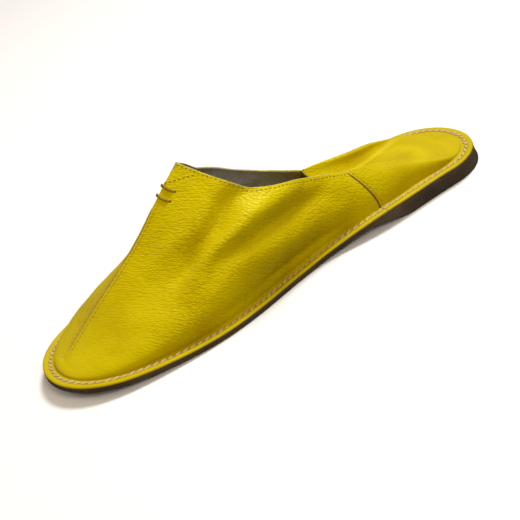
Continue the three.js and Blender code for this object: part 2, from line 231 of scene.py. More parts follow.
# Each runs along a path on the leather; size is how deep (-) or proud (+) it is at each point
creases = {
    "medial": [
        {"path": [(147, 14, 60.5), (158, 11, 60), (170, 12.5, 52), (180, 13, 46), (193, 9, 41),
                  (206, 8, 35)], "size": (0.3, 1.0, 1.5, 1.6, 1.3, 0), "width": 6.0},
        {"path": [(141, 18.5, 55), (154.5, 17.5, 53.5), (166, 20, 46), (178, 19.5, 41.5),
                  (191, 20, 34), (205, 20, 27)],
         "size": (-2.4, -3.4, -3.7, -3.4, -2.4, 0), "width": 5.0},
        {"path": [(164, 20, 47.5), (174, 20, 43), (182, 20, 39.5), (191, 20, 35), (200, 19, 30)],
         "size": (0, -0.7, -1.0, -0.8, 0), "width": 1.7},
        {"path": [(118, 20, 44), (128.5, 22, 44), (147, 25, 44), (163, 25.5, 40.5),
                  (175.5, 24.5, 38), (188, 27, 29.5), (200, 27, 22)],
         "size": (2.2, 2.8, 3.4, 3.4, 2.6, 1.4, 0), "width": 5.6},
        {"path": [(106, 21, 32.5), (117, 22.5, 33), (128, 25, 34), (139.5, 27.5, 34.5), (159, 29.5, 34),
                  (173, 28.5, 33), (187, 32, 23.5)],
         "size": (-1.6, -2.6, -3.0, -2.8, -1.8, -1.2, 0), "width": 4.8},
        {"path": [(92, 22, 18), (101, 23.5, 19), (115, 25, 20), (129, 26.5, 21.5), (153, 31.5, 25.5),
                  (169, 32.5, 25), (185, 35, 17)],
         "size": (0.6, 1.5, 2.2, 2.4, 1.5, 0.8, 0), "width": 8.0},
        {"path": [(100, 24, 10), (116, 23, 9.5), (141, 27, 9), (170, 33, 8.5), (200, 34, 8)],
         "size": (-0.8, -1.4, -1.4, -1.0, 0), "width": 5.0},
        {"path": [(186, 11, 47), (200, 12, 38), (214, 13, 31), (228, 12, 25)],
         "size": (0, -0.7, -0.8, 0), "width": 6.0},
    ],
    "lateral": [
        {"path": [(140, -38.5, 57), (152, -38, 52.5), (164, -37.5, 47.5), (178, -36, 40), (194, -33, 31.5),
                  (210, -29, 24.5)], "size": (-1.6, -2.4, -2.6, -2.2, -1.4, 0), "width": 5.0},
        {"path": [(126, -39, 46), (140, -43, 44), (155, -45, 40), (170, -44, 33), (190, -40, 25)],
         "size": (0.8, 1.8, 2.0, 1.3, 0), "width": 5.0},
        {"path": [(106, -36, 33), (120, -42, 32), (136, -47, 32), (156, -50, 29), (176, -49, 23)],
         "size": (-0.8, -1.8, -2.0, -1.6, 0), "width": 4.5},
        {"path": [(104, -40, 10), (124, -43, 9.5), (150, -48, 9), (178, -51, 8.5), (204, -48, 8)],
         "size": (-0.8, -1.4, -1.4, -1.0, 0), "width": 5.0},
    ],
}


def creaseShift(points, table):
    total = np.zeros(len(points))
    for crease in table:
        path = np.array(crease["path"], float)
        at = np.arange(len(path))
        fine = np.linspace(0, len(path) - 1, 12 * len(path))
        line = np.column_stack([smoothCurve(at, path[:, k])(fine) for k in range(3)])
        size = smoothCurve(at, crease["size"])(fine)
        distance = np.linalg.norm(points[:, None, :] - line[None], axis=2)
        nearest = distance.argmin(axis=1)
        near = distance[np.arange(len(points)), nearest] / crease["width"]
        total += size[nearest] * np.exp(-near ** 2)
    return total


def softWaves(points, size, spacing):  # slow unevenness of hand-made leather
    return np.array([noise.noise(Vector(p) / spacing) for p in points]) * size


def vertexNormals(points, quads):
    a, b, c, d = (points[quads[:, k]] for k in range(4))
    face = np.cross(c - a, d - b)
    normals = np.zeros_like(points)
    for k in range(4):
        np.add.at(normals, quads[:, k], face)
    return normals / np.maximum(np.linalg.norm(normals, axis=1), 1e-12)[:, None]


def weldGrids(grids):  # (points (n, m, 3), flipped) to welded points, quads and corner uvs
    allPoints, allQuads, allUvs, start = [], [], [], 0
    for points, flipped in grids:
        n, m = points.shape[:2]
        index = np.arange(n * m).reshape(n, m) + start
        quads = np.stack([index[:-1, :-1], index[1:, :-1], index[1:, 1:], index[:-1, 1:]], axis=-1)
        quads = quads.reshape(-1, 4)
        if flipped:
            quads = quads[:, ::-1]
        across = np.linalg.norm(np.diff(points[..., 1:], axis=1), axis=2)
        u = points[..., 0]
        v = np.concatenate([np.zeros((n, 1)), np.cumsum(across, axis=1)], axis=1)
        allPoints.append(points.reshape(-1, 3))
        allUvs.append(np.stack([u, v], axis=-1).reshape(-1, 2))
        allQuads.append(quads)
        start += n * m
    points, quads, uvs = np.concatenate(allPoints), np.concatenate(allQuads), np.concatenate(allUvs)
    _, first, inverse = np.unique(np.round(points * 1e3).astype(int), axis=0,
                                  return_index=True, return_inverse=True)
    return points[first], inverse.reshape(-1)[quads], uvs[quads]


def rimEdges(quads, count):  # directed edges that only one face has, with their corner numbers
    starts = quads.reshape(-1)
    ends = np.roll(quads, -1, axis=1).reshape(-1)
    corner = np.arange(len(starts))
    lone = ~np.isin(starts * count + ends, ends * count + starts)
    following = (corner // 4) * 4 + (corner + 1) % 4
    return starts[lone], ends[lone], corner[lone], following[lone]


def meshPiece(name, points, faces, materials, smoothAngle=60):  # shaded smooth up to that angle
    mesh = bpy.data.meshes.new(name)
    mesh.from_pydata(inRow(points).tolist(), [], faces)
    for material in materials:
        mesh.materials.append(material)
    mesh.polygons.foreach_set("use_smooth", np.ones(len(faces), bool))
    mesh.set_sharp_from_angle(angle=math.radians(smoothAngle))
    return linked(name, mesh)


def leatherSheet(name, grids, thickness, materials, displace, grain, lower=0.0):
    # a closed shell: grain side, flesh side below it and the cut edge between them
    points, quads, uvs = weldGrids(grids)
    points = points + vertexNormals(points, quads) * displace(points)[:, None]
    normals = vertexNormals(points, quads)
    outer = points - normals * lower
    depth = thickness(points)[:, None]
    inner = outer - normals * depth
    count = len(points)
    starts, ends, corner, following = rimEdges(quads, count)
    beyond = np.zeros_like(points)  # level with the leather, away from it
    np.add.at(beyond, starts, np.cross(points[ends] - points[starts], normals[starts]))
    np.add.at(beyond, ends, np.cross(points[ends] - points[starts], normals[ends]))
    beyond /= np.maximum(np.linalg.norm(beyond, axis=1), 1e-9)[:, None]
    rings = [outer]
    for turn in np.radians((40, 90, 140)):  # the cut edge is rounded over
        rings.append(outer - normals * depth * (1 - math.cos(turn)) / 2
                     + beyond * math.sin(turn) * 0.22)
    rings.append(inner)
    flat = uvs.reshape(-1, 2)
    edgeUvs = np.stack([flat[following], flat[corner], flat[corner], flat[following]], axis=1)
    edges = [np.column_stack([ends + k * count, starts + k * count,
                              starts + (k + 1) * count, ends + (k + 1) * count])
             for k in range(len(rings) - 1)]
    faces = np.concatenate([quads, quads[:, ::-1] + (len(rings) - 1) * count] + edges)
    corners = np.concatenate([uvs, uvs[:, ::-1]] + [edgeUvs] * len(edges))
    slots = np.repeat([0, 1, 2], [len(quads), len(quads), len(starts) * len(edges)])
    allPoints = np.concatenate(rings)
    used = np.unique(faces)
    renumber = np.zeros(len(allPoints), int)
    renumber[used] = np.arange(len(used))
    piece = meshPiece(name, allPoints[used], renumber[faces].tolist(), materials, 50)
    layer = piece.data.uv_layers.new(name="UVMap")
    layer.data.foreach_set("uv", (corners.reshape(-1, 2) * mm).ravel())
    piece.data.polygons.foreach_set("material_index", slots.astype(np.int32))
    piece.data.update()
    strengths = np.tile(grain(outer), len(rings))[used]
    piece.data.attributes.new("grain", "FLOAT", "POINT").data.foreach_set("value", strengths)
    return piece, outer, quads


def srgb(hexColour):  # #rrggbb to the linear values that shaders take
    channels = [int(hexColour[i:i + 2], 16) / 255 for i in (1, 3, 5)]
    linear = [c / 12.92 if c <= 0.04045 else ((c + 0.055) / 1.055) ** 2.4 for c in channels]
    return (*linear, 1.0)


def addNode(tree, kind, settings=None, inputs=None):
    # settings are the node's own fields; inputs are values, or sockets to link from
    node = tree.nodes.new(kind)
    for field, value in (settings or {}).items():
        setattr(node, field, value)
    for socket, value in (inputs or {}).items():
        target = node.inputs[socket]
        if isinstance(value, bpy.types.NodeSocket):
            tree.links.new(value, target)
        else:
            target.default_value = value
    return node


def addMath(tree, operation, *values):
    return addNode(tree, "ShaderNodeMath", {"operation": operation}, dict(enumerate(values))).outputs[0]


def addNoise(tree, place, size, detail, roughness=0.5, flat=False):  # size in mm
    return addNode(tree, "ShaderNodeTexNoise", {"noise_dimensions": "2D"} if flat else None, {
        "Vector": place, "Scale": 1 / (size * mm), "Detail": detail, "Roughness": roughness})


def addBump(tree, shader, height, depth, strength):  # depth in mm
    bump = addNode(tree, "ShaderNodeBump", inputs={
        "Height": height, "Distance": depth * mm, "Strength": strength})
    tree.links.new(bump.outputs["Normal"], shader.inputs["Normal"])


def newMaterial(name, roughness, colour="#808080", **sockets):
    material = bpy.data.materials.new(name)
    material.use_nodes = True
    shader = material.node_tree.nodes["Principled BSDF"]
    shader.inputs["Base Color"].default_value = srgb(colour)
    shader.inputs["Roughness"].default_value = roughness
    for socket, value in sockets.items():
        shader.inputs[socket.replace("_", " ")].default_value = value
    return material, material.node_tree, shader


def paint(tree, shader, factor, stops):  # base colour through a ramp of (position, colour)
    ramp = addNode(tree, "ShaderNodeValToRGB", inputs={"Fac": factor})
    elements = ramp.color_ramp.elements
    elements[0].position, elements[0].color = stops[0][0], srgb(stops[0][1])
    elements[1].position, elements[1].color = stops[-1][0], srgb(stops[-1][1])
    for position, colour in stops[1:-1]:
        element = elements.new(position)
        element.color = srgb(colour)
    tree.links.new(ramp.outputs["Color"], shader.inputs["Base Color"])


# Drum-dyed goat leather, pebbled by milling and drawn over the last: small pebbles pulled into
# fine wrinkles that run down and back across the wall, with a soft shine broken up by both
pebbledLeather = {
    # hollow, mid and proud: painted shade, the grain's hollows coloured darker and its tops lighter
    "hollow": "#b09800",
    "mid": "#c8b600",
    "proud": "#d4c400",
    "pebble": (2.6, 0.95),  # mm along and across the pull
    "wrinkle": (9.0, 1.1),
    "pull": 42.0,  # degrees between the pull and the length of the shoe
    "roughness": 0.42,
    "sheen": (1.0, 0.9, 0.02, 1.0),  # the dye tints even the highlights
}


def makeLeather(name, grainDepth):
    recipe = pebbledLeather
    material, tree, shader = newMaterial(name, recipe["roughness"])
    uv = addNode(tree, "ShaderNodeTexCoord").outputs["UV"]
    sway = addNoise(tree, uv, 7, 2.0, flat=True)
    bent = addNode(tree, "ShaderNodeVectorMath", {"operation": "MULTIPLY_ADD"}, {
        0: sway.outputs["Color"], 1: (1.2 * mm, 1.2 * mm, 0), 2: uv})

    def pulled(size):  # coordinates that count pebbles or wrinkles
        return addNode(tree, "ShaderNodeMapping", {"vector_type": "TEXTURE"}, {
            "Vector": bent.outputs["Vector"], "Rotation": (0, 0, math.radians(recipe["pull"])),
            "Scale": (size[0] * mm, size[1] * mm, 1)}).outputs["Vector"]

    pebbles = addNode(tree, "ShaderNodeTexVoronoi", {
        "voronoi_dimensions": "2D", "feature": "SMOOTH_F1"}, {
        "Vector": pulled(recipe["pebble"]), "Scale": 1.0, "Smoothness": 0.3, "Randomness": 0.9})
    wrinkles = addNode(tree, "ShaderNodeTexNoise", {"noise_dimensions": "2D"}, {
        "Vector": pulled(recipe["wrinkle"]), "Scale": 1.0, "Detail": 3.0, "Roughness": 0.55,
        "Distortion": 0.2})
    pores = addNoise(tree, uv, 0.45, 2.0, flat=True)
    patches = addNoise(tree, uv, 34, 3.0, flat=True)
    dome = addNode(tree, "ShaderNodeMapRange", inputs={
        "Value": pebbles.outputs["Distance"], "From Min": 0.1, "From Max": 0.7,
        "To Min": 1.0, "To Max": 0.0})
    relief = addMath(tree, "MULTIPLY_ADD", wrinkles.outputs["Fac"], 1.5, dome.outputs["Result"])
    fine = addMath(tree, "MULTIPLY_ADD", pores.outputs["Fac"], 0.14, relief)
    strength = addNode(tree, "ShaderNodeAttribute", {"attribute_name": "grain"})
    height = addMath(tree, "MULTIPLY", fine, strength.outputs["Fac"])
    tone = addMath(tree, "MULTIPLY_ADD", patches.outputs["Fac"], 0.7, -0.08)
    # painted shade and painted light: the grain's height darkens its hollows and lightens its tops, over
    # the patches' random tone
    toneAndShade = addMath(tree, "MULTIPLY_ADD", height, 0.16, tone)
    paint(tree, shader, toneAndShade, [
        (0.15, recipe["hollow"]), (0.45, recipe["mid"]), (0.8, recipe["proud"])])
    shader.inputs["Specular Tint"].default_value = recipe["sheen"]
    gloss = addNode(tree, "ShaderNodeMapRange", inputs={
        "Value": height, "From Min": 0.3, "From Max": 1.9,
        "To Min": recipe["roughness"] + 0.12, "To Max": recipe["roughness"] - 0.06})
    tree.links.new(gloss.outputs["Result"], shader.inputs["Roughness"])
    addBump(tree, shader, height, grainDepth, 1.0)
    return material


def makeSuede(name, colour, darker, depth):  # napped flesh side or cut edge, no shine
    material, tree, shader = newMaterial(name, 0.9)
    place = addNode(tree, "ShaderNodeTexCoord").outputs["Object"]
    nap = addNoise(tree, place, 1.6, 5.0, 0.7)
    paint(tree, shader, nap.outputs["Fac"], [(0.3, darker), (0.7, colour)])
    addBump(tree, shader, nap.outputs["Fac"], depth, 0.6)
    return material


def makeRubber(name):  # moulded dark rubber: matt, faint flow marks, scuffed grain
    material, tree, shader = newMaterial(name, 0.68)
    place = addNode(tree, "ShaderNodeTexCoord").outputs["Object"]
    grain = addNoise(tree, place, 1.2, 6.0, 0.65)
    scuff = addNoise(tree, place, 24, 3.0)
    tone = addMath(tree, "MULTIPLY_ADD", grain.outputs["Fac"], 0.35, scuff.outputs["Fac"])
    paint(tree, shader, tone, [(0.45, "#2c241d"), (0.7, "#493e35"), (0.95, "#62574c")])
    addBump(tree, shader, grain.outputs["Fac"], 0.12, 0.5)
    return material


def makeThread(name, colour, darker):  # waxed twisted thread: a slight shine, plies darker between
    material, tree, shader = newMaterial(name, 0.55)
    place = addNode(tree, "ShaderNodeTexCoord").outputs["Object"]
    plies = addNoise(tree, place, 0.8, 3.0, 0.6)
    paint(tree, shader, plies.outputs["Fac"], [(0.35, darker), (0.65, colour)])
    return material


leather = makeLeather("pebbled goat leather", 0.16)
lining = makeSuede("napped lining", "#9c99a6", "#7c7988", 0.15)
flesh = makeSuede("flesh side", "#a09058", "#7d6f3c", 0.2)
cutEdge = makeSuede("cut leather edge", "#d8d29a", "#b9a860", 0.2)
rubber = makeRubber("moulded rubber")
creamThread = makeThread("waxed cream thread", "#d2c08a", "#a58f58")
yellowThread = makeThread("yellow thread", "#c9ae20", "#9a7e0a")
darkThread = makeThread("brown thread", "#7d6400", "#503e00")
# painted shade: the dark colour of the shadow inside the thongs' holes
holeShadow = makeSuede("painted hole shade", "#6b550a", "#453606", 0.1)
# painted shade: dark brown for the shaded groove along the side seams
grooveShade = makeThread("seam groove shade", "#8a6a34", "#5c4318")
seamThread = makeThread("seam cord", "#bda23c", "#a0862a")
sockLeather = makeLeather("sock leather", 0.12)
# the thongs are the vamp's yellow leather, coloured darker and browner: painted shade for the shadows on
# the thin ties
thongShadedLeather = makeSuede("thong leather darkened for shade", "#b29a10", "#7d6804", 0.1)
print("materials made")


vamp = {"backStations": 62, "frontStations": 132, "wallColumns": 66, "leather": 0.9,
        "seamColumns": (0.35, 0.8, 1.4, 2.1), "slit": 4.6, "slitWidth": 0.35}


def vampCurves(side, share, ridgeX):
    points, inward = rimAt(side, share)
    foot = wallFoot(points, inward)
    joined = ridgeX >= last["throat"] - 1e-6  # in front of the throat both halves share one seam
    ridgeY, ridgeZ = (np.where(joined, ridge["medial"][name](ridgeX), ridge[side][name](ridgeX))
                      for name in ("y", "z"))
    top = np.column_stack([ridgeX, ridgeY, ridgeZ])
    form = {name: curve(ridgeX) for name, curve in section[side].items()}
    bulge = foot - lifted(inward * form["bulge"][:, None], -form["rise"])
    slope = np.radians(form["slope"])
    level = foot[:, :2] - top[:, :2]
    level /= np.linalg.norm(level, axis=1)[:, None]
    down = lifted(level * np.cos(slope)[:, None], -np.sin(slope))
    shoulder = top + down * form["reach"][:, None]
    return points, inward, (foot, bulge, shoulder, top)


def collarEnd(side, curves, ridgeX):  # how far up its section each station goes
    low, high = np.zeros(len(ridgeX)), np.ones(len(ridgeX))
    for _ in range(40):
        middle = (low + high) / 2
        at = bezier(*curves, middle[:, None])[:, 0]
        below = at[:, 2] < collar[side]["z"](at[:, 0])
        low, high = np.where(below, middle, low), np.where(below, high, middle)
    return np.where(ridgeX >= last["throat"] - 1e-6, 1.0, (low + high) / 2)


def vampStations(side):
    seamShare, throatShare = shareAt(side, last["seamFoot"][side]), shareAt(side, last["throat"])
    back = np.linspace(0, 1, vamp["backStations"], endpoint=False)
    front = np.linspace(0, 1, vamp["frontStations"])
    share = np.concatenate([seamShare + (throatShare - seamShare) * back,
                            throatShare + (1 - throatShare) * front])
    share[-1] = 1.0
    ridgeX = np.concatenate([
        last["ridgeAtSeam"][side] + (last["throat"] - last["ridgeAtSeam"][side]) * back,
        last["throat"] + (last["ridgeEnd"] - last["throat"]) * np.sin(front * math.pi / 2)])
    return share, ridgeX


def vampGrid(side):
    share, ridgeX = vampStations(side)
    points, inward, curves = vampCurves(side, share, ridgeX)
    end = collarEnd(side, curves, ridgeX)
    even = np.linspace(0, 1, vamp["wallColumns"])[:-1]
    near = 1 - np.array(sorted(vamp["seamColumns"], reverse=True)) / 85
    columns = np.concatenate([even[even < near[0] - 0.004], near, [1.0]])
    wall = bezier(*curves, end[:, None] * columns[None])
    front = ridgeX >= last["throat"] - 1e-6
    opening = np.clip(1 - (ridgeX - last["throat"]) / vamp["slit"], 0, 1) * front
    wall[:, -1, 1] += sides[side] * vamp["slitWidth"] * opening
    return np.concatenate([marginRows(points, inward), wall], axis=1)


def vampShift(points):
    medial = points[:, 1] > ridge["medial"]["y"](points[:, 0])
    amount = np.where(medial, creaseShift(points, creases["medial"]), 0)
    amount += np.where(medial, 0, creaseShift(points, creases["lateral"]))
    overMargin = ease(points[:, 2] - soleTop(points[:, 0]), 2.5, 9)
    overMargin *= ease(np.hypot(points[:, 0] - last["ridgeEnd"], points[:, 1] + 4.9), 1, 8)
    return (amount + softWaves(points, 0.5, 21) + softWaves(points, 0.18, 7)) * overMargin


def vampGrain(points):  # how far the grain stands out: pulled smooth over the toe and the margin
    overMargin = 0.35 + 0.65 * ease(points[:, 2] - soleTop(points[:, 0]), 2.6, 8)
    return overMargin * (1 - 0.55 * ease(points[:, 0], 190, 245))


vampGrids = {side: vampGrid(side) for side in sides}
vampLeather, vampSurface, vampQuads = leatherSheet(
    "vamp_leather", [(vampGrids["medial"], True), (vampGrids["lateral"], False)],
    lambda points: np.full(len(points), vamp["leather"]), [leather, flesh, cutEdge], vampShift, vampGrain)
print("vamp leather", len(vampLeather.data.polygons), "faces")


def treeOf(points, faces):
    return BVHTree.FromPolygons([Vector(p) for p in points.tolist()], faces.tolist())


def onSurface(tree, points, lift=0.0):  # drops points on to a surface; returns them and the normals
    hits = [tree.find_nearest(Vector(p)) for p in np.asarray(points, float)]
    normals = np.array([hit[1] for hit in hits])
    return np.array([hit[0] for hit in hits]) + normals * lift, normals


def evenly(points, step):  # the same line with points a set distance apart
    points = np.asarray(points, float)
    run = np.concatenate([[0], np.cumsum(np.linalg.norm(np.diff(points, axis=0), axis=1))])
    at = np.linspace(0, run[-1], max(2, round(run[-1] / step) + 1))
    return np.column_stack([np.interp(at, run, points[:, k]) for k in range(3)])


# Heel quarter, folded down flat and trodden on

quarter = {"stations": 96, "wallColumns": 20, "flapColumns": 42, "leather": 0.9, "seamGap": 0.6,
           "easing": 0.4, "wallBulge": 0.15, "seatFront": 59.0, "seatBack": 16.0, "seatHeight": 12.1,
           "foldReach": {"medial": 1.3, "lateral": 2.0}, "foldRise": {"medial": 1.8, "lateral": 0.6},
           "foldDrop": {"medial": 1.6, "lateral": 3.6}, "landing": {"medial": 0.3, "lateral": 0.1},
           "tipReach": 1.6, "tipLanding": 0.25, "softening": 5,
           "settles": {"medial": (0.45, 0.68), "lateral": (0.5, 0.76)}}

fold = {
    "medial": curvesOf({
        "x": (0, 0.2, 0.45, 0.62, 0.76, 1),
        "along": (87.3, 70.5, 46, 30, 18.5, 9.5),
        "across": (11, 15, 18, 20, 18, 0),
        "up": (33.8, 29.7, 21, 15.6, 13, 11.3),
    }),
    "lateral": curvesOf({
        "x": (0, 0.15, 0.33, 0.53, 0.73, 1),
        "along": (87.4, 76, 59, 41, 22, 9.5),
        "across": (-20, -24, -25.5, -27, -22.5, 0),
        "up": (25.7, 22.8, 18.5, 15.6, 13.4, 11.3),
    }),
}


def quarterGrid(side):
    form = quarter
    part = np.linspace(0, 1, form["stations"])
    share = shareAt(side, last["seamFoot"][side] - form["seamGap"]) * (1 - part)
    points, inward = rimAt(side, share)
    foot = wallFoot(points, inward)
    up = np.linspace(0, 1, form["wallColumns"])
    ridgeX = np.array([last["ridgeAtSeam"][side]])
    _, _, seamCurves = vampCurves(side, shareAt(side, [last["seamFoot"][side]]), ridgeX)
    seam = bezier(*seamCurves, collarEnd(side, seamCurves, ridgeX)[:, None] * up[None])[0]
    seam[:, 0] -= form["seamGap"]
    top = np.column_stack([fold[side][name](part) for name in ("along", "across", "up")])
    easing = (np.maximum(0, 1 - part / form["easing"]) ** 2)[:, None]
    top = top + easing * (seam[-1] - top[0])
    flush = ease(part, *form["settles"][side])[:, None]  # near the heel's tip the wall runs out
    top = top + (foot + lifted(inward * 1.2, np.full(len(part), 1.0)) - top) * flush
    seatX = form["seatFront"] + (form["seatBack"] - form["seatFront"]) * part
    seat = np.column_stack([seatX, outline["centre"](seatX), np.full(len(part), form["seatHeight"])])
    level = seat - top
    level[:, 2] = 0
    length = form["foldReach"][side] + (form["tipReach"] - form["foldReach"][side]) * flush
    reach = level / np.linalg.norm(level, axis=1)[:, None] * length
    standing = lifted(np.zeros((len(part), 2)), ease(top[:, 2], 11, 16))
    rise, drop = form["foldRise"][side] * standing, form["foldDrop"][side] * standing
    height = (top - foot)[:, 2]
    bulge = foot - lifted(inward * (height * form["wallBulge"])[:, None], -height * 0.6)
    wall = bezier(foot, bulge, top - (reach + rise) * (1 - 0.8 * flush), top,
                  np.tile(up, (len(part), 1)))
    wall = wall + easing[:, :, None] * (seam - wall[0])[None]
    landing = top + (seat - top) * (
        form["landing"][side] + (form["tipLanding"] - form["landing"][side]) * flush)
    landing[:, 2] = form["seatHeight"]
    down = np.linspace(0, 1, form["flapColumns"])[1:]
    flap = bezier(top, top + reach - drop, landing, seat, np.tile(down ** 1.15, (len(part), 1)))
    grid = np.concatenate([marginRows(points, inward), wall, flap], axis=1)
    crown = len(marginProfile["inset"]) + form["wallColumns"] - 1
    for _ in range(form["softening"]):  # rounds the leather over the fold
        near = grid[:, crown - 4:crown + 5].copy()
        grid[:, crown - 3:crown + 4] = (near[:, :-2] + 2 * near[:, 1:-1] + near[:, 2:]) / 4
    return grid


quarterCreases = {
    "medial": [  # the near fold settles towards the heel's tip, with a soft hollow under it
        {"path": [(72, 22, 20), (52, 24, 15.5), (34, 25, 12.5)], "size": (0, -0.8, 0), "width": 6.0},
        {"path": [(66, 7, 21), (48, 10, 16), (30, 13, 13.2)], "size": (0, 0.7, 0), "width": 6.0},
    ],
    "lateral": [  # the far fold stands proud of the seat, with a shadowed valley below it
        {"path": [(80, -16.5, 20), (58, -19.5, 14), (40, -21, 12.5), (26, -20, 12)],
         "size": (-2.0, -2.6, -2.0, 0), "width": 3.2},
        {"path": [(82, -21, 25), (60, -25.5, 19), (42, -26.5, 16), (26, -24, 13)],
         "size": (0.9, 1.8, 1.4, 0), "width": 2.6},
    ],
}


def quarterShift(points):
    medial = points[:, 1] > outline["centre"](points[:, 0])
    amount = np.where(medial, creaseShift(points, quarterCreases["medial"]), 0)
    amount += np.where(medial, 0, creaseShift(points, quarterCreases["lateral"]))
    overMargin = ease(points[:, 2] - soleTop(points[:, 0]), 1.6, 5)
    return (amount + softWaves(points, 0.4, 18)) * overMargin


def quarterGrain(points):  # the trodden seat is polished nearly smooth
    return 0.22 + 0.7 * ease(points[:, 0], 45, 80) * ease(points[:, 2], 12, 18)


def quarterThickness(points):  # full at the edge of the back mouth, trodden thin behind it
    medial = points[:, 1] > outline["centre"](points[:, 0])
    mouth = quarter["seatFront"] + np.where(medial, 1.3, 2.1) * (points[:, 2] - quarter["seatHeight"])
    return 0.25 + (quarter["leather"] - 0.25) * ease(points[:, 0] - mouth, -7, -1)


quarterGrids = {side: quarterGrid(side) for side in sides}
quarterLeather, quarterSurface, quarterQuads = leatherSheet(
    "quarter_leather", [(quarterGrids["medial"], False), (quarterGrids["lateral"], True)],
    quarterThickness, [leather, flesh, cutEdge], quarterShift, quarterGrain)
print("quarter leather", len(quarterLeather.data.polygons), "faces")


# Lining, glued inside the wall of the vamp and cut flush with the collar

liningGrids = [(vampGrids[side][:, len(marginProfile["inset"]):], side == "medial") for side in sides]
vampLining = leatherSheet("vamp_lining", liningGrids, lambda points: np.full(len(points), 0.3),
                          [lining, lining, lining], vampShift, vampGrain, lower=0.95)[0]
print("lining made")


# Rubber outsole and the sock inside, as rings from the lowest to the highest

sole = {"rimSteps": 260, "round": 0.7, "sockInset": 10.6, "sockHeelInset": 14.5}


def soleLoop(inset, height):
    share = np.linspace(0, 1, sole["rimSteps"])
    loops = []
    for side in sides:
        points, inward = rimAt(side, share)
        x = points[:, 0]
        flat = points + inward * inset(x)[:, None]
        loops.append(lifted(flat, height(x)))
    return np.concatenate([loops[0], loops[1][-2:0:-1]])


def stackedRings(name, rings, rungs, materials):
    count = len(rings[0])
    half = sole["rimSteps"] - 1
    points, faces = np.concatenate(rings), []
    for k in range(len(rings) - 1):
        here = np.arange(count) + k * count
        following = np.roll(here, -1)
        faces.append(np.column_stack([here, following, following + count, here + count])[:, ::-1])
    mesh = [np.concatenate(faces)]
    extra, start = [], len(points)
    for ring, flipped in ((0, False), (len(rings) - 1, True)):
        loop = rings[ring]
        left = loop[:half + 1]
        right = np.concatenate([loop[:1], loop[half + 1:][::-1], loop[half:half + 1]])
        across = np.linspace(0, 1, rungs)[1:-1, None, None]
        inner = left[None] * (1 - across) + right[None] * across
        extra.append(inner[:, 1:-1].reshape(-1, 3))
        index = np.zeros((rungs, half + 1), int)
        index[0] = np.arange(half + 1) + ring * count
        index[-1] = np.concatenate([[0], np.arange(count - 1, half, -1), [half]]) + ring * count
        index[1:-1, 0], index[1:-1, -1] = ring * count, ring * count + half
        index[1:-1, 1:-1] = np.arange((rungs - 2) * (half - 1)).reshape(rungs - 2, half - 1) + start
        start += len(extra[-1])
        quads = np.stack([index[:-1, :-1], index[1:, :-1], index[1:, 1:], index[:-1, 1:]], axis=-1)
        quads = quads.reshape(-1, 4)
        mesh.append(quads if flipped else quads[:, ::-1])
    points = np.concatenate([points] + extra)
    faces = np.concatenate(mesh)
    cleaned = []
    for quad in faces.tolist():  # the rungs at the tips close up into triangles
        kept = [v for k, v in enumerate(quad) if v != quad[k - 1]]
        if len(kept) > 2:
            cleaned.append(kept)
    return meshPiece(name, points, cleaned, materials)


def spreadGrain(piece, strength):  # flat pattern coordinates and an even grain
    mesh = piece.data
    layer = mesh.uv_layers.new(name="UVMap")
    places = np.zeros(len(mesh.vertices) * 3)
    mesh.vertices.foreach_get("co", places)
    corners = np.zeros(len(mesh.loops), int)
    mesh.loops.foreach_get("vertex_index", corners)
    layer.uv.foreach_set("vector", places.reshape(-1, 3)[corners, :2].ravel())
    values = np.full(len(mesh.vertices), strength)
    mesh.attributes.new("grain", "FLOAT", "POINT").data.foreach_set("value", values)


def outsoleRings():
    def flare(x):
        return -last["heelFlare"] * np.maximum(0, 1 - x / last["heelCap"]) ** 2

    rounds = np.radians((90, 68, 45, 22, 0))
    size = sole["round"]
    rings = []
    for turn in rounds:  # rounded lower edge
        inset, rise = size * (1 - math.cos(turn)), size * (1 - math.sin(turn))
        rings.append(soleLoop(lambda x, i=inset: flare(x) + i, lambda x, r=rise: soleBottom(x) + r))
    for part in (0.35, 0.7):
        rings.append(soleLoop(lambda x, p=part: flare(x) * (1 - p) ** 1.5 + 0.15 * math.sin(p * 3),
                              lambda x, p=part: (soleBottom(x) + size) * (1 - p) + (soleTop(x) - 0.4) * p))
    rings.append(soleLoop(lambda x: 0 * x, lambda x: soleTop(x) - 0.4))
    rings.append(soleLoop(lambda x: 0 * x + 0.12, lambda x: soleTop(x) - 0.12))
    rings.append(soleLoop(lambda x: 0 * x + 0.4, soleTop))
    return rings


outsole = stackedRings("outsole_rubber", outsoleRings(), 24, [rubber])

def sockRing(extra, height):  # narrower round the heel, under the trodden quarter
    def inset(x):
        wide = ease(x, last["heelCap"] / 2, last["heelFlatEnd"])
        return sole["sockHeelInset"] + (sole["sockInset"] - sole["sockHeelInset"]) * wide + extra
    return soleLoop(inset, lambda x: soleTop(x) + last["gap"] + height)


sockEdge = ((0.0, 0.0), (0.0, 1.1), (0.12, 1.38), (0.4, 1.5))
sock = stackedRings("sock_leather", [sockRing(*edge) for edge in sockEdge], 20, [sockLeather])
spreadGrain(sock, 0.5)
print("sole made")


# Stitches: one tree that lays short rounded stitches along a line on the leather

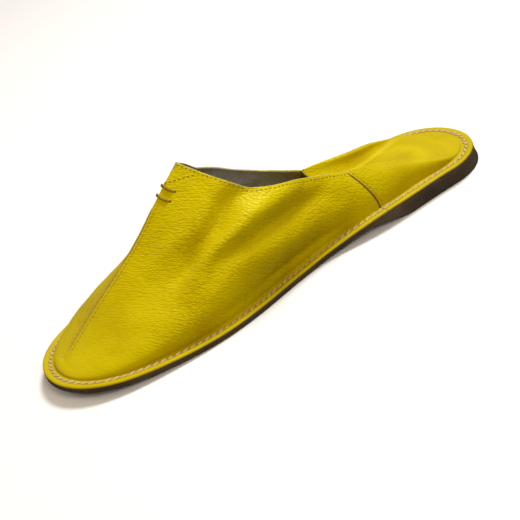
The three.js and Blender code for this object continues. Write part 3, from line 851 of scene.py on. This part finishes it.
def makeStitchTree():
    tree = bpy.data.node_groups.new("stitches", "GeometryNodeTree")
    face = tree.interface
    face.new_socket("Geometry", in_out="INPUT", socket_type="NodeSocketGeometry")
    sizes = (("Pitch", 3.0), ("Length", 2.0), ("Width", 0.6), ("Height", 0.4), ("Slant", 0.0),
             ("Unevenness", 0.1))
    for name, value in sizes:
        face.new_socket(name, in_out="INPUT", socket_type="NodeSocketFloat").default_value = value
    face.new_socket("Seed", in_out="INPUT", socket_type="NodeSocketInt").default_value = 7
    face.new_socket("Thread", in_out="INPUT", socket_type="NodeSocketMaterial")
    face.new_socket("Geometry", in_out="OUTPUT", socket_type="NodeSocketGeometry")
    given = addNode(tree, "NodeGroupInput").outputs
    line = addNode(tree, "GeometryNodeMeshToCurve", inputs={"Mesh": given["Geometry"]})
    spots = addNode(tree, "GeometryNodeCurveToPoints", {"mode": "LENGTH"}, {
        "Curve": line.outputs["Curve"], "Length": given["Pitch"]})
    normal = addNode(tree, "GeometryNodeInputNamedAttribute", {"data_type": "FLOAT_VECTOR"}, {
        "Name": "lie"})
    forward = addNode(tree, "FunctionNodeAlignRotationToVector", {"axis": "X"}, {
        "Vector": spots.outputs["Tangent"]})
    upright = addNode(tree, "FunctionNodeAlignRotationToVector", {"axis": "Z", "pivot_axis": "X"}, {
        "Rotation": forward.outputs["Rotation"], "Vector": normal.outputs["Attribute"]})
    swing = addNode(tree, "FunctionNodeRandomValue", {"data_type": "FLOAT"}, {
        "Seed": given["Seed"]})
    tree.links.new(addMath(tree, "MULTIPLY", given["Unevenness"], -1.0), swing.inputs[2])
    tree.links.new(given["Unevenness"], swing.inputs[3])
    slant = addMath(tree, "ADD", swing.outputs[1], given["Slant"])
    turn = addNode(tree, "ShaderNodeCombineXYZ", inputs={"Z": slant})
    slanted = addNode(tree, "FunctionNodeRotateRotation", {"rotation_space": "LOCAL"}, {
        "Rotation": upright.outputs["Rotation"], "Rotate By": turn.outputs["Vector"]})
    ball = addNode(tree, "GeometryNodeMeshUVSphere", inputs={
        "Segments": 10, "Rings": 8, "Radius": 0.5})
    size = addNode(tree, "ShaderNodeCombineXYZ", inputs={
        "X": given["Length"], "Y": given["Width"], "Z": given["Height"]})
    shaped = addNode(tree, "GeometryNodeTransform", inputs={
        "Geometry": ball.outputs["Mesh"], "Scale": size.outputs["Vector"]})
    bigger = addMath(tree, "ADD", swing.outputs[1], 1.0)
    laid = addNode(tree, "GeometryNodeInstanceOnPoints", inputs={
        "Points": spots.outputs["Points"], "Instance": shaped.outputs["Geometry"],
        "Rotation": slanted.outputs["Rotation"], "Scale": bigger})
    real = addNode(tree, "GeometryNodeRealizeInstances", inputs={
        "Geometry": laid.outputs["Instances"]})
    smooth = addNode(tree, "GeometryNodeSetShadeSmooth", inputs={"Geometry": real.outputs["Geometry"]})
    threaded = addNode(tree, "GeometryNodeSetMaterial", inputs={
        "Geometry": smooth.outputs["Geometry"], "Material": given["Thread"]})
    addNode(tree, "NodeGroupOutput", inputs={"Geometry": threaded.outputs["Geometry"]})
    return tree


stitchTree = makeStitchTree()


def stitchRow(name, lines, thread, **sizes):  # lines are (points, normals); sizes are in mm
    points = np.concatenate([line[0] for line in lines])
    edges, start = [], 0
    for line in lines:
        edges += [(start + k, start + k + 1) for k in range(len(line[0]) - 1)]
        start += len(line[0])
    mesh = bpy.data.meshes.new(name)
    mesh.from_pydata(inRow(points).tolist(), edges, [])
    lie = mesh.attributes.new("lie", "FLOAT_VECTOR", "POINT")
    lie.data.foreach_set("vector", np.concatenate([line[1] for line in lines]).ravel())
    path = linked(name + "_line", mesh)
    modifier = path.modifiers.new("stitches", "NODES")
    modifier.node_group = stitchTree
    sockets = {item.name: item.identifier for item in stitchTree.interface.items_tree
               if item.in_out == "INPUT"}
    modifier[sockets["Thread"]] = thread
    for size, value in sizes.items():
        isLength = size in ("Pitch", "Length", "Width", "Height")
        modifier[sockets[size]] = value * mm if isLength else value
    evaluated = path.evaluated_get(bpy.context.evaluated_depsgraph_get())
    stitches = bpy.data.meshes.new_from_object(evaluated)
    stitches.name = name
    piece = linked(name, stitches)
    bpy.data.objects.remove(path)
    bpy.data.meshes.remove(mesh)
    print(name, len(stitches.polygons), "faces")
    return piece


vampTree = treeOf(vampSurface, vampQuads)
quarterTree = treeOf(quarterSurface, quarterQuads)


def marginLine(inset, lift):  # right round the shoe, on the vamp's margin and the quarter's
    lines = []
    for side in sides:
        share = np.linspace(0, 1, 700)
        points, inward = rimAt(side, share)
        flat = points + inward * inset
        raised = lifted(flat, soleTop(flat[:, 0]) + 1.4)
        onVamp = flat[:, 0] > last["seamFoot"][side]
        placed, normals = onSurface(quarterTree, raised, lift)
        vampPlaced, vampNormal = onSurface(vampTree, raised, lift)
        placed[onVamp], normals[onVamp] = vampPlaced[onVamp], vampNormal[onVamp]
        lines.append((placed, normals * 0.3 + np.array([0, 0, 1.0])))
    return lines


def gridLine(side, distance):  # on the vamp, a set distance below the collar's edge
    column = vampGrids[side][:vamp["backStations"] + 1, len(marginProfile["inset"]):]
    line = []
    for station in column:
        fromTop = np.linalg.norm(np.diff(station[::-1], axis=0), axis=1).cumsum()
        fromTop = np.concatenate([[0], fromTop])
        line.append([np.interp(distance, fromTop, station[::-1, k]) for k in range(3)])
    return evenly(line, 0.8)


def besideRidge(side, start, end, distance):
    x = np.linspace(start, end, 90)
    y, z = ridge[side]["y"](x), ridge[side]["z"](x)
    return evenly(np.column_stack([x, y + sides[side] * distance, z]), 0.8)


def seamLine(side, ahead):  # up the side seam, ahead of it (+) or behind it (-)
    grid = vampGrids[side] if ahead > 0 else quarterGrids[side]
    columns = slice(len(marginProfile["inset"]) - 4,
                    grid.shape[1] if ahead > 0 else
                    len(marginProfile["inset"]) + quarter["wallColumns"])
    line = grid[0, columns].copy()
    line[:, 0] += ahead
    return evenly(line, 0.8)


stitchMargin = stitchRow("margin_stitches", marginLine(4.1, 0.3), creamThread, Pitch=4.1, Length=4.6,
                         Width=1.7, Height=1.0, Slant=0.42, Unevenness=0.1)
centreLines = [onSurface(vampTree, besideRidge(side, 181, 252, 2.3), 0.08) for side in sides]
stitchCentre = stitchRow("centre_stitches", centreLines, yellowThread, Pitch=2.4, Length=1.8,
                         Width=0.45, Height=0.35, Unevenness=0.05)
collarLines = [onSurface(vampTree, gridLine(side, 2.0), 0.0) for side in sides]
stitchCollar = stitchRow("collar_stitches", collarLines, darkThread, Pitch=2.4, Length=1.5,
                         Width=0.42, Height=0.3, Unevenness=0.05)
seamLines = [onSurface(quarterTree, seamLine(side, -1.6), 0.06) for side in sides]
stitchSeam = stitchRow("side_seam_stitches", seamLines, yellowThread, Pitch=2.2, Length=1.7,
                       Width=0.45, Height=0.35, Unevenness=0.05)


# The decoration at the throat: a V of dark stitches and two thongs

throatWork = {"halfWidth": 8.4, "vBehind": 3.6, "vAhead": 10.4, "vGap": 1.4,
              "thongs": (173.0, 177.6), "thongReach": 6.3, "thongRadius": 0.7}


def crossLine(ridgeX, reach, count=33):  # level line across the ridge, on the leather
    y = np.linspace(-reach, reach, count)
    line = []
    for offset in y:
        side = "medial" if offset >= 0 else "lateral"
        x = ridgeX - 0.045 * offset ** 2
        line.append([x, ridge[side]["y"](x) + offset, ridge[side]["z"](x) - abs(offset) * 0.6])
    return np.array(line)


def tube(name, points, radius, material, sidesRound=14):  # closed tube with rounded ends
    points = np.asarray(points, float)
    tangent = np.gradient(points, axis=0)
    tangent /= np.linalg.norm(tangent, axis=1)[:, None]
    up = np.array([0.0, 0.0, 1.0])
    first = np.cross(tangent, up)
    first /= np.linalg.norm(first, axis=1)[:, None]
    second = np.cross(first, tangent)
    radius = np.broadcast_to(radius, len(points))
    angle = np.linspace(0, 2 * math.pi, sidesRound, endpoint=False)
    ring = (first[:, None] * np.cos(angle)[None, :, None] + second[:, None] * np.sin(angle)[None, :, None])
    skin = points[:, None] + ring * radius[:, None, None]
    n = len(points)
    index = np.arange(n * sidesRound).reshape(n, sidesRound)
    following = np.roll(index, -1, axis=1)
    quads = np.stack([index[:-1], following[:-1], following[1:], index[1:]], axis=-1).reshape(-1, 4)
    faces = quads[:, ::-1].tolist()
    faces.append(index[0].tolist())
    faces.append(index[-1][::-1].tolist())
    return meshPiece(name, skin.reshape(-1, 3), faces, [material])


def throatV():
    lines = []
    for side in sides:
        top = [last["throat"] - throatWork["vBehind"],
               ridge[side]["y"](162) + sides[side] * throatWork["halfWidth"], 66]
        foot = [last["throat"] + throatWork["vAhead"],
                ridge[side]["y"](171) + sides[side] * throatWork["vGap"], 69]
        lines.append(onSurface(vampTree, evenly([top, foot], 0.8), 0.06))
    return lines


stitchV = stitchRow("throat_v_stitches", throatV(), darkThread, Pitch=2.4, Length=1.7, Width=0.45,
                    Height=0.35, Unevenness=0.05)


def makeThong(name, ridgeX):
    reach = throatWork["thongReach"]
    line, normals = onSurface(vampTree, crossLine(ridgeX, reach), 0.0)
    offset = np.linspace(-1, 1, len(line))
    lift = throatWork["thongRadius"] * (1 - 2.2 * np.maximum(0, np.abs(offset) - 0.72) / 0.28)
    return tube(name, line + normals * (lift + 0.1)[:, None], throatWork["thongRadius"], thongShadedLeather)


thongPieces = [makeThong("thong_upper", throatWork["thongs"][0]),
               makeThong("thong_lower", throatWork["thongs"][1])]
for thong in thongPieces:
    spreadGrain(thong, 0.3)


# Flattened dark balls where the thongs go through the leather: painted shade standing in for the shadow
# inside the holes
def thongHoleShades():
    spots = []
    for ridgeX in throatWork["thongs"]:
        line, normals = onSurface(vampTree, crossLine(ridgeX, throatWork["thongReach"] + 0.35), 0.0)
        spots += [(line[0], normals[0]), (line[-1], normals[-1])]
    around = (np.arange(14) + 0.5) * math.pi / 7
    tilt, turn = np.meshgrid(np.linspace(0, math.pi, 9)[1:-1], around, indexing="ij")
    rings = np.stack([np.sin(tilt) * np.cos(turn), np.sin(tilt) * np.sin(turn), np.cos(tilt)], axis=-1)
    ball = np.concatenate([rings.reshape(-1, 3), [(0, 0, 1), (0, 0, -1)]]) * (0.8, 0.64, 0.176)
    index = np.arange(rings.shape[0] * 14).reshape(-1, 14)
    following = np.roll(index, -1, axis=1)
    top, bottom = len(ball) - 2, len(ball) - 1
    skin = np.stack([index[:-1], index[1:], following[1:], following[:-1]], axis=-1).reshape(-1, 4).tolist()
    skin += [[top, a, b] for a, b in zip(index[0].tolist(), following[0].tolist())]
    skin += [[bottom, b, a] for a, b in zip(index[-1].tolist(), following[-1].tolist())]
    points, faces = [], []
    for place, normal in spots:
        lie = np.array(Vector(normal).to_track_quat("Z", "Y").to_matrix())
        faces += [[v + len(points) * len(ball) for v in face] for face in skin]
        points.append(ball @ lie.T + place)
    return meshPiece("thong_hole_shade", np.concatenate(points), faces, [holeShadow], 180)


holeShades = thongHoleShades()


# Seams: the raised cord of the centre seam, and the pinched lines of the side seams drawn as dark brown
# cords, painted shade in their grooves

def seamCord(name, line, normals, radius, material, sink=0.35):
    taper = np.clip(np.minimum(np.arange(len(line)), np.arange(len(line))[::-1]) / 5, 0.15, 1)
    return tube(name, line - normals * radius * sink, radius * taper, material)


cordX = np.linspace(181, 256, 120)
cordLine = np.column_stack([cordX, ridge["medial"]["y"](cordX), ridge["medial"]["z"](cordX)])
centreCord = seamCord("centre_seam", *onSurface(vampTree, evenly(cordLine, 1.0)), 0.42, seamThread)
# the side seams' dark cords are painted shade in the groove between vamp and quarter
sideGrooveShades = [seamCord("side_seam_" + side, *onSurface(vampTree, seamLine(side, 0.01)), 0.62, grooveShade)
             for side in sides]
print("seams made")


view = {
    "place": (389.4, 602.5, 362.0),  # camera, in the shoe's frame
    "aim": (154.9, 33.9, 25.0),
    "roll": -20.2,
    "lens": 97.0,
}


lighting = {
    "ambient": "#ffe2b8",  # warm, so that the folds fall towards brown
    "ambientPower": 0.36,
    "lamps": (  # name, place in metres, size, watts, colour
        ("key", (-0.55, -0.17, 1.1), 0.4, 12.4, "#fbffff"),
        ("front", (0.1, 1.0, 0.8), 0.6, 6.0, "#fff6e4"),
        ("toe", (0.8, -0.5, 0.6), 0.5, 1.6, "#fff6e4"),
    ),
}


def makeCamera():
    camera = linked("camera", bpy.data.cameras.new("camera"))
    place, aim = Vector(inRow(view["place"])), Vector(inRow(view["aim"]))
    turn = (aim - place).to_track_quat("-Z", "Y").to_matrix()
    camera.matrix_world = Matrix.Translation(place) @ (
        turn @ Matrix.Rotation(math.radians(view["roll"]), 3, "Z")).to_4x4()
    camera.data.lens = view["lens"]
    camera.data.sensor_width = 36
    camera.data.clip_start, camera.data.clip_end = 0.01, 50
    bpy.context.scene.camera = camera


def makeFloor():  # white to the eye, but it throws little light back up on the shoe
    material, tree, shader = newMaterial("matt paper", 0.9, "#f6f8ff")
    dull = addNode(tree, "ShaderNodeBsdfDiffuse", inputs={"Color": srgb("#6b6358")})
    seen = addNode(tree, "ShaderNodeLightPath").outputs["Is Camera Ray"]
    mixed = addNode(tree, "ShaderNodeMixShader", inputs={
        0: seen, 1: dull.outputs["BSDF"], 2: shader.outputs["BSDF"]})
    tree.links.new(mixed.outputs[0], tree.nodes["Material Output"].inputs["Surface"])
    mesh = bpy.data.meshes.new("floor")
    mesh.from_pydata([(-3, -3, 0), (3, -3, 0), (3, 3, 0), (-3, 3, 0)], [], [(0, 1, 2, 3)])
    mesh.materials.append(material)
    linked("floor", mesh)


def addLight(name, place, aim, size, power, colour="#ffffff"):
    light = bpy.data.lights.new(name, "AREA")
    light.shape, light.size, light.energy = "DISK", size, power
    light.color = srgb(colour)[:3]
    lamp = linked(name, light)
    lamp.location = place
    lamp.rotation_euler = (Vector(aim) - Vector(place)).to_track_quat("-Z", "Y").to_euler()


def makeLights():
    world = bpy.data.worlds.new("studio")
    bpy.context.scene.world = world
    world.use_nodes = True
    tree = world.node_tree
    seen = addNode(tree, "ShaderNodeLightPath").outputs["Is Camera Ray"]
    paper = addNode(tree, "ShaderNodeMixRGB", inputs={
        "Fac": seen, "Color1": srgb(lighting["ambient"]), "Color2": srgb("#ffffff")})
    power = addNode(tree, "ShaderNodeMapRange", inputs={
        "Value": seen, "To Min": lighting["ambientPower"], "To Max": 1.0})
    background = tree.nodes["Background"]
    tree.links.new(paper.outputs["Color"], background.inputs["Color"])
    tree.links.new(power.outputs["Result"], background.inputs["Strength"])
    for name, place, size, watts, colour in lighting["lamps"]:
        addLight(name, place, (0.0, 0.0, 0.03), size, watts, colour)


makeCamera()
makeFloor()
makeLights()
bpy.context.scene.view_settings.view_transform = "Standard"


pieces = [
    (vampLeather, "yellow_leather", ["upper"]),
    (vampLining, "lining_suede", []),
    (quarterLeather, "yellow_leather", ["heel_quarter"]),
    (outsole, "sole_rubber", ["outsole"]),
    (sock, "sock_leather", ["insole"]),
    (thongPieces[0], "thong_leather", ["tie_upper"]),
    (thongPieces[1], "thong_leather", ["tie_lower"]),
    (holeShades, "thong_leather", []),
    (centreCord, "thread", []),
    (sideGrooveShades[0], "thread", []),
    (sideGrooveShades[1], "thread", []),
    (stitchMargin, "thread", []),
    (stitchCentre, "thread", []),
    (stitchCollar, "thread", []),
    (stitchSeam, "thread", []),
    (stitchV, "thread", []),
]
for piece, slotName, nodes in pieces:
    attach(piece, "root")
    if nodes:
        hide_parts(*nodes)
